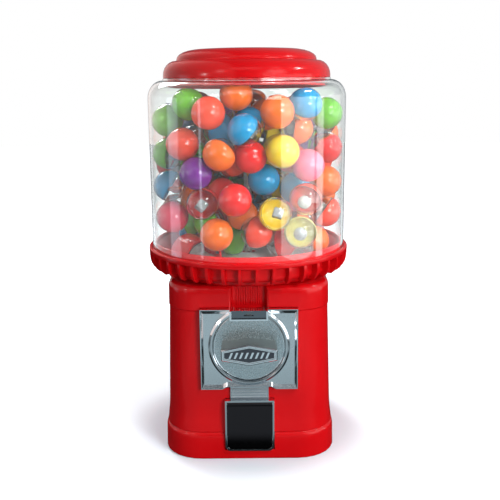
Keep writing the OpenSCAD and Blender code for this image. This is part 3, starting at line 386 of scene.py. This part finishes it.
# Cabinet -----------------------------------------------------------------
# The square body, one moulding with round corners, a collar at the top and a
# fluted channel down its front, over the lip of the pan.
cabinet = tidy_copy("cabinet", "cabinet_moulding", "housing", ease=0.6 * MM)
repaint(cabinet, red_shell)

# Chute -------------------------------------------------------------------
# A grey moulded throat that carries a capsule from the hopper's outlet round
# to the door; it is pressed up against the cabinet's roof.
grey_moulding, tree, surface = finish("grey moulding", (0.33, 0.34, 0.35), 0.42)
speck = noise(tree, 900, 2)
tree.links.new(spread(tree, speck.outputs["Fac"], 0.36, 0.5), surface.inputs["Roughness"])
relief(tree, surface, speck.outputs["Fac"], 0.02 * MM)
chute = tidy_copy("chute", "chute_moulding", "housing")
repaint(chute, grey_moulding)

# Door frame --------------------------------------------------------------
# A chromed die casting round the outlet, with a ribbed neck that reaches up to
# the face plate. It is clamped between pan and cabinet.


def brushed(name, colour, low, high, depth=0.004 * MM, scale=700):
    """Bright plated metal with a faint cast or rolled grain under the plating."""
    material, tree, surface = finish(name, colour, low, 1.0)
    grain = noise(tree, scale, 3)
    tree.links.new(spread(tree, grain.outputs["Fac"], low, high), surface.inputs["Roughness"])
    relief(tree, surface, grain.outputs["Fac"], depth)
    return material


chrome = brushed("chromed casting", (0.72, 0.77, 0.80), 0.07, 0.15)
frame_casting = tidy_copy("door_frame", "door_frame_casting", "housing", ease=0.45 * MM)
repaint(frame_casting, chrome)

# Door flap ---------------------------------------------------------------
# A black-chromed flap that hangs on its pin at the top and lifts outwards.
dark_chrome = brushed("black chrome", (0.055, 0.048, 0.052), 0.10, 0.18, 0.002 * MM, 300)
flap = tidy_copy("door_flap", "door_flap_casting", "door", ease=0.3 * MM)
repaint(flap, dark_chrome)

# Face plate --------------------------------------------------------------
# The chromed front of the coin mechanism, die-cast in one with its raised
# border, the round bezel of the knob and the block of the coin slot.
plate = tidy_copy("face_plate", "face_plate_casting", "housing", ease=0.3 * MM, corner=20)
repaint(plate, chrome)
PLATE_TOP_Z, FIELD_Y, BEZEL_Y, SLOT_PANEL_Y = 157.9, -86, -91.2, -92
shape = bmesh.new()
shape.from_mesh(plate.data)
bmesh.ops.bisect_plane(
    shape, geom=shape.verts[:] + shape.edges[:] + shape.faces[:], dist=0.001 * MM,
    plane_co=(0, 0, PLATE_TOP_Z * MM), plane_no=(0, 0, 1), clear_outer=True,
)
bmesh.ops.holes_fill(shape, edges=[e for e in shape.edges if e.is_boundary], sides=0)
# the bezel's top slopes outwards from its crest, except under the slot block
KNOB_Z, CREST_R, BEZEL_EDGE_R, BEZEL_FALL = 120.5, 36.8, 40.1, 2.4
BLOCK_HALF_W, BLOCK_Z = 18.6, 148
for vert in shape.verts:
    x, y, z = vert.co / MM
    out = math.hypot(x, z - KNOB_Z)
    clear_of_block = abs(x) > BLOCK_HALF_W or z < BLOCK_Z
    if CREST_R < out < BEZEL_EDGE_R and y < FIELD_Y - 3 and clear_of_block:
        vert.co.y = (BEZEL_Y + BEZEL_FALL * (out - CREST_R) / (BEZEL_EDGE_R - CREST_R)) * MM
shape.to_mesh(plate.data)
shape.free()
satin_chrome = brushed("satin chrome ground", (0.66, 0.73, 0.76), 0.26, 0.36, 0.02 * MM, 1400)
paint_where(plate, satin_chrome, lambda p, n: n.y < -0.99 and abs(p.y - FIELD_Y) < 0.1)
# the front panel of the slot block is painted a dark chrome: a painted reflection of the dim room, darker
# than the chrome round it
slot_panel_dark_reflection = brushed("smoked chrome", (0.15, 0.17, 0.19), 0.08, 0.16, 0.002 * MM, 300)
paint_where(plate, slot_panel_dark_reflection, lambda p, n: n.y < -0.99 and abs(p.y - SLOT_PANEL_Y) < 0.1)
# the slot's inner faces behind the panel are painted near black: a painted shadow in the cavity
deep_shadow, tree, surface = finish("blackened slot", (0.006, 0.006, 0.007), 0.6)
relief(tree, surface, noise(tree, 1200, 2).outputs["Fac"], 0.02 * MM)
SLOT_HALF_W, SLOT_Z0, SLOT_Z1, SLOT_BACK_Y = 9, 151, 157, -87
paint_where(plate, deep_shadow, lambda p, n: (
    abs(p.x) < SLOT_HALF_W and SLOT_Z0 < p.z < SLOT_Z1 and SLOT_PANEL_Y + 0.2 < p.y < SLOT_BACK_Y))

# Knob --------------------------------------------------------------------
# The turning disc and its grip bar, one chromed casting; the disc has a fine
# pebbled ground.
knob = tidy_copy("knob", "knob_casting", "knob", ease=0.15 * MM)
repaint(knob, chrome)
pebbled = brushed("pebbled chrome ground", (0.58, 0.67, 0.70), 0.2, 0.34, 0.45 * MM, 850)
DISC_Y = -89.6
paint_where(knob, pebbled, lambda p, n: n.y < -0.9 and abs(p.y - DISC_Y) < 0.7)
# the faces of the grip that turn away from the front are painted a darker chrome: a painted reflection of
# the dim room above
grip_dark_reflection = brushed("dull chrome", (0.30, 0.33, 0.32), 0.34, 0.44, 0.01 * MM, 900)
paint_where(knob, grip_dark_reflection, lambda p, n: n.y > -0.35 and p.y < DISC_Y - 1)

# Badge -------------------------------------------------------------------
# A dark lozenge let into the end of the grip, with plain slanted bars in
# raised bright metal.
badge = tidy_copy("knob_badge", "knob_badge_plate", "knob", ease=0.15 * MM)
slate = brushed("slate enamel", (0.10, 0.105, 0.12), 0.25, 0.4, 0.004 * MM, 900)
repaint(badge, slate)
badge.data.materials.append(chrome)
RIM_W, FLOOR_DEPTH = 0.9, 0.5
BAR_COUNT, BAR_PITCH = 8, 5
BAR_W, BAR_H, BAR_SLANT, BAR_RISE, BAR_ROOT = 2.2, 6.2, 2.6, 0.4, 0.1
face_y = min(v.co.y for v in badge.data.vertices) / MM
middle_z = sum(v.co.z for v in badge.data.vertices) / len(badge.data.vertices) / MM
shape = bmesh.new()
shape.from_mesh(badge.data)
top = [f for f in shape.faces if f.normal.y < -0.99 and abs(f.calc_center_median().y / MM - face_y) < 0.02]
rim = bmesh.ops.inset_region(shape, faces=top, thickness=RIM_W * MM, depth=0, use_even_offset=True)
wall = bmesh.ops.inset_region(
    shape, faces=top, thickness=0.1 * MM, depth=-FLOOR_DEPTH * MM, use_even_offset=True)
for edge_face in rim["faces"] + wall["faces"]:
    edge_face.material_index = 1
root_y = face_y + FLOOR_DEPTH + BAR_ROOT
# twice the way from a bar's middle to each of its corners: across and up
bar_outline = (
    (-BAR_W - BAR_SLANT, -BAR_H), (BAR_W - BAR_SLANT, -BAR_H),
    (BAR_W + BAR_SLANT, BAR_H), (-BAR_W + BAR_SLANT, BAR_H),
)
for k in range(BAR_COUNT):
    x = (k - (BAR_COUNT - 1) / 2) * BAR_PITCH
    bar = shape.faces.new([
        shape.verts.new(((x + u / 2) * MM, root_y * MM, (middle_z + w / 2) * MM)) for u, w in bar_outline])
    raised = bmesh.ops.extrude_face_region(shape, geom=[bar])["geom"]
    corners = [v for v in raised if isinstance(v, bmesh.types.BMVert)]
    bmesh.ops.translate(shape, verts=corners, vec=(0, -(BAR_RISE + BAR_ROOT) * MM, 0))
    for bar_face in {f for v in corners for f in v.link_faces} | {bar}:
        bar_face.material_index = 1
shape.to_mesh(badge.data)
shape.free()

# Mechanism ---------------------------------------------------------------
# What the cabinet hides: the cast frame of the coin mechanism with its steel
# shaft, screws and pawl, the brass coin carrier and drive gear, and the nylon
# idler and wheel above them.
steel = brushed("zinc-plated steel", (0.62, 0.62, 0.6), 0.22, 0.38)
cast_zinc = brushed("raw zinc casting", (0.45, 0.46, 0.47), 0.38, 0.55, 0.03 * MM)
brass = brushed("brass", (0.72, 0.5, 0.2), 0.2, 0.34)
nylon, tree, surface = finish("milky nylon", (0.82, 0.81, 0.77), 0.36, **{"Subsurface Weight": 0.1})
waxy = noise(tree, 500, 2)
tree.links.new(spread(tree, waxy.outputs["Fac"], 0.3, 0.44), surface.inputs["Roughness"])
relief(tree, surface, waxy.outputs["Fac"], 0.01 * MM)
bristle, tree, surface = finish("black bristle", (0.02, 0.02, 0.022), 0.6)
tuft = noise(tree, 2400, 2)
relief(tree, surface, tuft.outputs["Fac"], 0.3 * MM)
inner_finishes = {
    "steel": steel, "cast_zinc": cast_zinc, "brass": brass, "nylon": nylon, "bristle": bristle,
    "grey_plastic": grey_moulding, "dark_chrome": dark_chrome, "zinc": chrome,
}
for part in frame["record"]["subparts"]:
    if part["material_slot"] in inner_finishes:
        repaint(nodes[part["node"]], inner_finishes[part["material_slot"]])
# the hood over the brush shows at the bottom of the globe, in the shell's red
nodes["brush_housing"].data.materials[0] = red_shell

# Hopper ------------------------------------------------------------------
# The red ring under the globe: a ribbed skirt, a rolled lip and a groove that
# the globe stands in, bolted to the cabinet's roof.
hopper = tidy_copy("hopper", "hopper_moulding", "housing", ease=0.3 * MM)
repaint(hopper, red_shell)

# Lid ---------------------------------------------------------------------
# A two-tier red cover that sits on the globe's mouth, held by the lock.
lid = tidy_copy("lid", "lid_moulding", "lid", ease=0.5 * MM)
repaint(lid, red_shell)

# Globe -------------------------------------------------------------------
# A straight clear cylinder of blown polycarbonate with a round shoulder and
# an open mouth under the lid.
DEEPEST = 6.0


def let_lamps_through(tree, surface, share=0.94):
    """Lets lamplight, and sight that is past DEEPEST clear layers, go straight through a clear material."""
    passing = tree.nodes.new("ShaderNodeBsdfTransparent")
    passing.inputs["Color"].default_value = (share, share, share, 1)
    path = tree.nodes.new("ShaderNodeLightPath")
    deep = combine(tree, "GREATER_THAN", path.outputs["Transmission Depth"], DEEPEST)
    either = combine(tree, "MAXIMUM", path.outputs["Is Shadow Ray"], deep)
    blend = tree.nodes.new("ShaderNodeMixShader")
    tree.links.new(either, blend.inputs["Fac"])
    tree.links.new(surface.outputs[0], blend.inputs[1])
    tree.links.new(passing.outputs[0], blend.inputs[2])
    tree.links.new(blend.outputs[0], tree.nodes["Material Output"].inputs["Surface"])


clear_wall, tree, surface = finish(
    "clear polycarbonate", (0.93, 0.96, 0.95), 0.01, **{"Transmission Weight": 1.0, "IOR": 1.49})
let_lamps_through(tree, surface)
GLOBE_R, WALL, MOUTH_R, NECK_R = 100.9 * MM, 2.5 * MM, 85.4 * MM, 82 * MM
FOOT, TOP, LIP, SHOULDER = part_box("globe")[0][2], 377 * MM, 1.6 * MM, 18 * MM


def shoulder(wall, turns):
    """Points on the round shoulder between the side and the mouth, wall inside its outer face."""
    middle = TOP - LIP - SHOULDER
    return [
        (MOUTH_R + (GLOBE_R - MOUTH_R - wall) * math.cos(a), middle + (SHOULDER - wall) * math.sin(a))
        for a in (math.radians(9 * turn) for turn in turns)
    ]


def spin_section(shape, section, steps, closed=True):
    """Spins a section, given as radius and height, about Z into shape."""
    ring = [shape.verts.new((r, 0, z)) for r, z in section]
    ends = ring[1:] + ring[:1] if closed else ring[1:]
    for a, b in zip(ring, ends):
        shape.edges.new((a, b))
    bmesh.ops.spin(
        shape, geom=shape.verts[:] + shape.edges[:], cent=(0, 0, 0), axis=(0, 0, 1),
        angle=math.tau, steps=steps, use_merge=True,
    )


globe_section = [(GLOBE_R, FOOT)] + shoulder(0, range(11))
globe_section += [(MOUTH_R, TOP), (NECK_R, TOP), (NECK_R, TOP - LIP - WALL)]
globe_section += shoulder(WALL, range(10, -1, -1)) + [(GLOBE_R - WALL, FOOT)]
shape = bmesh.new()
spin_section(shape, globe_section, 120)
bmesh.ops.recalc_face_normals(shape, faces=shape.faces)
mesh = smooth_mesh(shape, "globe_moulding")
mesh.materials.append(clear_wall)
dressed(mesh, "globe_moulding", "housing", "globe")

# Capsules ----------------------------------------------------------------
# The 32 mm toy capsules: a coloured cap pushed over a clear cup, with a small
# toy inside. They lie as they were poured.
CAPSULE_R = 16 * MM
cap_colours = {
    "orange": (0.78, 0.125, 0.003), "green": (0.125, 0.429, 0.016), "red": (0.671, 0.009, 0.008),
    "coral": (0.78, 0.055, 0.02), "blue": (0.002, 0.234, 0.468), "yellow": (0.78, 0.546, 0.016),
    "purple": (0.156, 0.012, 0.234), "pink": (0.741, 0.125, 0.218), "teal": (0.016, 0.211, 0.281),
    "rose": (0.741, 0.023, 0.078), "cream": (0.718, 0.655, 0.156), "silver": (0.328, 0.335, 0.335),
    "smoke": (0.055, 0.062, 0.062), "pearl": (0.546, 0.546, 0.499),
}
shares = {"orange": 5, "green": 4, "red": 3, "coral": 4, "blue": 3, "yellow": 2, "purple": 1, "pink": 1}
often = [colour for colour, share in shares.items() for _ in range(share)]
toy_tints = ["silver", "silver", "smoke", "pearl", "orange"]
# the front of the fill, as across and up in millimetres, the cap's colour and
# the way the cap points: across, back and up; a capsule within MATCH of a place
# takes its colour and its way
MATCH = 5
front_row = [
    (-10, 362, "orange", (0, -1, 0.3)), (28, 346, "orange", (0.1, -1, 0)),
    (-36, 345, "coral", (0.2, -1, 0.4)), (55, 352, "blue", (0.2, -0.7, 0.7)),
    (-56, 353, "green", (0, -1, 0.2)), (-79, 336, "green", (-0.3, -1, 0)),
    (2, 334, "blue", (-0.7, -0.35, 0.65)), (79, 342, "green", (0.2, -1, 0.1)),
    (-28, 329, "blue", (0.95, -0.55, -0.1)), (-62, 315, "coral", (0.35, -1, 0)),
    (33, 309, "yellow", (0, -1, 0)), (80, 308, "orange", (0.3, -1, 0.2)),
    (-80, 303, "orange", (-0.3, -1, 0)), (3, 303, "red", (0, -1, 0)),
    (-15, 297, "coral", (0.95, -0.5, 0.1)), (58, 294, "pink", (0.3, -1, 0.1)),
    (-49, 288, "purple", (-0.3, -1, 0)), (16, 279, "blue", (0, -1, 0)),
    (-80, 270, "teal", (-0.2, -1, 0)), (79, 274, "orange", (0.2, -1, 0)),
    (-12, 264, "red", (-0.1, -1, 0.25)), (56, 261, "coral", (0.3, 1, 0.4)),
    (-44, 257, "red", (0.1, 1, 0.2)), (26, 250, "yellow", (-0.5, 1, -0.2)),
    (-76, 240, "rose", (0.1, -1, 0)), (80, 242, "green", (0.2, -1, 0)),
    (-30, 230, "orange", (0, -1, 0.1)), (8, 229, "coral", (0.85, -0.55, 0)),
    (51, 229, "cream", (0.1, 1, 0)),
]
VOTE_CELL, FEWEST_VOTES = 2 * MM, 100


def capsule_centres(node):
    """The middle of each hollow ball in a CAD node, found where the normals of its outer faces meet."""
    mesh = nodes[node].data
    mesh.calc_loop_triangles()
    points = np.empty(len(mesh.vertices) * 3, np.float32)
    mesh.vertices.foreach_get("co", points)
    corners = np.empty(len(mesh.loop_triangles) * 3, np.int32)
    mesh.loop_triangles.foreach_get("vertices", corners)
    faces = points.reshape(-1, 3)[corners.reshape(-1, 3)].astype(float)
    normals = np.cross(faces[:, 1] - faces[:, 0], faces[:, 2] - faces[:, 0])
    areas = np.linalg.norm(normals, axis=1)
    good = areas > 1e-10
    votes = faces[good].mean(axis=1) - normals[good] / areas[good, None] * CAPSULE_R
    cells, counts = np.unique(np.round(votes / VOTE_CELL).astype(int), axis=0, return_counts=True)
    centres = []
    busy = np.flatnonzero(counts > FEWEST_VOTES)
    for k in busy[np.argsort(-counts[busy])]:
        guess = cells[k] * VOTE_CELL
        if all(np.linalg.norm(guess - c) > CAPSULE_R for c in centres):
            centres.append(votes[np.linalg.norm(votes - guess, axis=1) < 1.5 * VOTE_CELL].mean(axis=0))
    return sorted((Vector(c) for c in centres), key=lambda c: (round(c.z, 4), round(c.x, 4)))


def turned_shell(section, name):
    """A closed round shell: a section of radius and height from pole to pole, spun about Z."""
    shape = bmesh.new()
    spin_section(shape, section, 26, closed=False)
    bmesh.ops.remove_doubles(shape, verts=shape.verts, dist=0.005 * MM)
    bmesh.ops.recalc_face_normals(shape, faces=shape.faces)
    return smooth_mesh(shape, name, 40)


def bowl(radius, start, stop, steps):
    """Points on a circle in the XZ plane from angle start to stop, in degrees above the seam."""
    turns = [math.radians(start + (stop - start) * i / steps) for i in range(steps + 1)]
    return [(radius * math.cos(a), radius * math.sin(a)) for a in turns]


def in_metres(points):
    """Points given in millimetres, in metres."""
    return [(r * MM, z * MM) for r, z in points]


cap_rim = in_metres([(16, 0.6), (16, -1.1), (15.85, -1.3), (15.3, -1.3), (15.2, 1.2)])
cup_rim = in_metres([(15.85, -1.5), (15.2, -1.5), (15.15, 1.0), (14.6, 1.0), (14.7, -1.5)])
cap_shell = turned_shell(bowl(16 * MM, 90, 4, 9) + cap_rim + bowl(15 * MM, 8, 90, 6), "cap")
cup_shell = turned_shell(bowl(15.85 * MM, -90, -6, 9) + cup_rim + bowl(14.75 * MM, -8, -90, 6), "cup")

cap_plastic, tree, surface = finish(
    "coloured capsule plastic", (0.8, 0.1, 0.05), 0.14, **{"Coat Weight": 0.4, "Coat Roughness": 0.04})
cap_paint = tree.nodes.new("ShaderNodeAttribute")
cap_paint.attribute_name = "cap_colour"
cloud = noise(tree, 90, 2)
tone = tree.nodes.new("ShaderNodeMix")
tone.data_type = "RGBA"
tone.blend_type = "MULTIPLY"
tone.inputs[0].default_value = 1.0
tree.links.new(cap_paint.outputs["Color"], tone.inputs[6])
tree.links.new(spread(tree, cloud.outputs["Fac"], (0.93, 0.93, 0.93), (1.0, 1.0, 1.0)), tone.inputs[7])
tree.links.new(tone.outputs[2], surface.inputs["Base Color"])
relief(tree, surface, cloud.outputs["Fac"], 0.02 * MM)
cup_plastic, tree, surface = finish(
    "clear capsule plastic", (0.96, 0.975, 0.975), 0.02, **{"Transmission Weight": 1.0, "IOR": 1.5})
let_lamps_through(tree, surface)
RING_R, RING_WIRE_R, DIE_W, DIE_EASE, BALL_R = 6.4 * MM, 1.5 * MM, 9.5 * MM, 1.4 * MM, 6.6 * MM


def toy_shape(name):
    """A small plain toy of 9 to 16 mm that lies in the cup: a ring, a die or a ball."""
    shape = bmesh.new()
    if name == "ring":
        turns = [math.tau * i / 8 for i in range(8)]
        band = [(RING_R + RING_WIRE_R * math.cos(a), RING_WIRE_R * math.sin(a)) for a in turns]
        spin_section(shape, band, 18)
        bmesh.ops.recalc_face_normals(shape, faces=shape.faces)
    elif name == "die":
        bmesh.ops.create_cube(shape, size=DIE_W)
        bmesh.ops.bevel(
            shape, geom=shape.edges[:], offset=DIE_EASE, offset_type="OFFSET", segments=3,
            profile=0.5, affect="EDGES", material=-1,
        )
    else:
        bmesh.ops.create_uvsphere(shape, u_segments=16, v_segments=10, radius=BALL_R)
    return smooth_mesh(shape, name, 180)


toys = [toy_shape(name) for name in ("ring", "die", "ball")]
draw = random.Random(11)
OUTWARDS, WOBBLE, FRONT_Y, TOY_DROP = 1.3, 0.08, -20 * MM, 5.2 * MM
for part in ("capsules_lower", "capsules_middle", "capsules_upper"):
    caps, cups, treats = bmesh.new(), bmesh.new(), bmesh.new()
    for heap in (caps, treats):
        heap.verts.layers.float_color.new("cap_colour")
    for centre in capsule_centres(part):
        out = Vector((centre.x, centre.y, 0)).normalized()
        loose = Vector((draw.gauss(0, 1), draw.gauss(0, 1), draw.gauss(0, 1))).normalized()
        colour, toy_colour, toy = draw.choice(often), draw.choice(toy_tints), draw.choice(toys)
        pole = out * OUTWARDS + loose
        x, z = centre.x / MM, centre.z / MM
        near = [s for s in front_row if abs(x - s[0]) < MATCH and abs(z - s[1]) < MATCH]
        if near and centre.y < FRONT_Y:
            spot = min(near, key=lambda s: math.hypot(x - s[0], z - s[1]))
            colour, pole = spot[2], Vector(spot[3]) + loose * WOBBLE
        place = Matrix.Translation(centre) @ pole.to_track_quat("Z", "Y").to_matrix().to_4x4()
        turn = Matrix.Rotation(draw.uniform(0, math.tau), 4, "Z")
        tilt = Matrix.Rotation(draw.uniform(0.3, 1.3), 4, "X")
        in_cup = place @ Matrix.Translation((0, 0, -TOY_DROP)) @ turn @ tilt
        layers = (
            (cap_shell, caps, place, colour),
            (cup_shell, cups, place, None),
            (toy, treats, in_cup, toy_colour),
        )
        for shell, heap, where, tint in layers:
            copy = shell.copy()
            copy.transform(where)
            before = len(heap.verts)
            heap.from_mesh(copy)
            bpy.data.meshes.remove(copy)
            if tint:
                heap.verts.ensure_lookup_table()
                paint_layer = heap.verts.layers.float_color["cap_colour"]
                for v in heap.verts[before:]:
                    v[paint_layer] = (*cap_colours[tint], 1)
    heaps = ((caps, "_caps", cap_plastic), (cups, "_cups", cup_plastic), (treats, "_toys", cap_plastic))
    for heap, ending, stuff in heaps:
        mesh = bpy.data.meshes.new(part + ending)
        heap.to_mesh(mesh)
        heap.free()
        mesh.materials.append(stuff)
        piece = bpy.data.objects.new(part + ending, mesh)
        scene.collection.objects.link(piece)
        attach(piece, "housing")
        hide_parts(part)
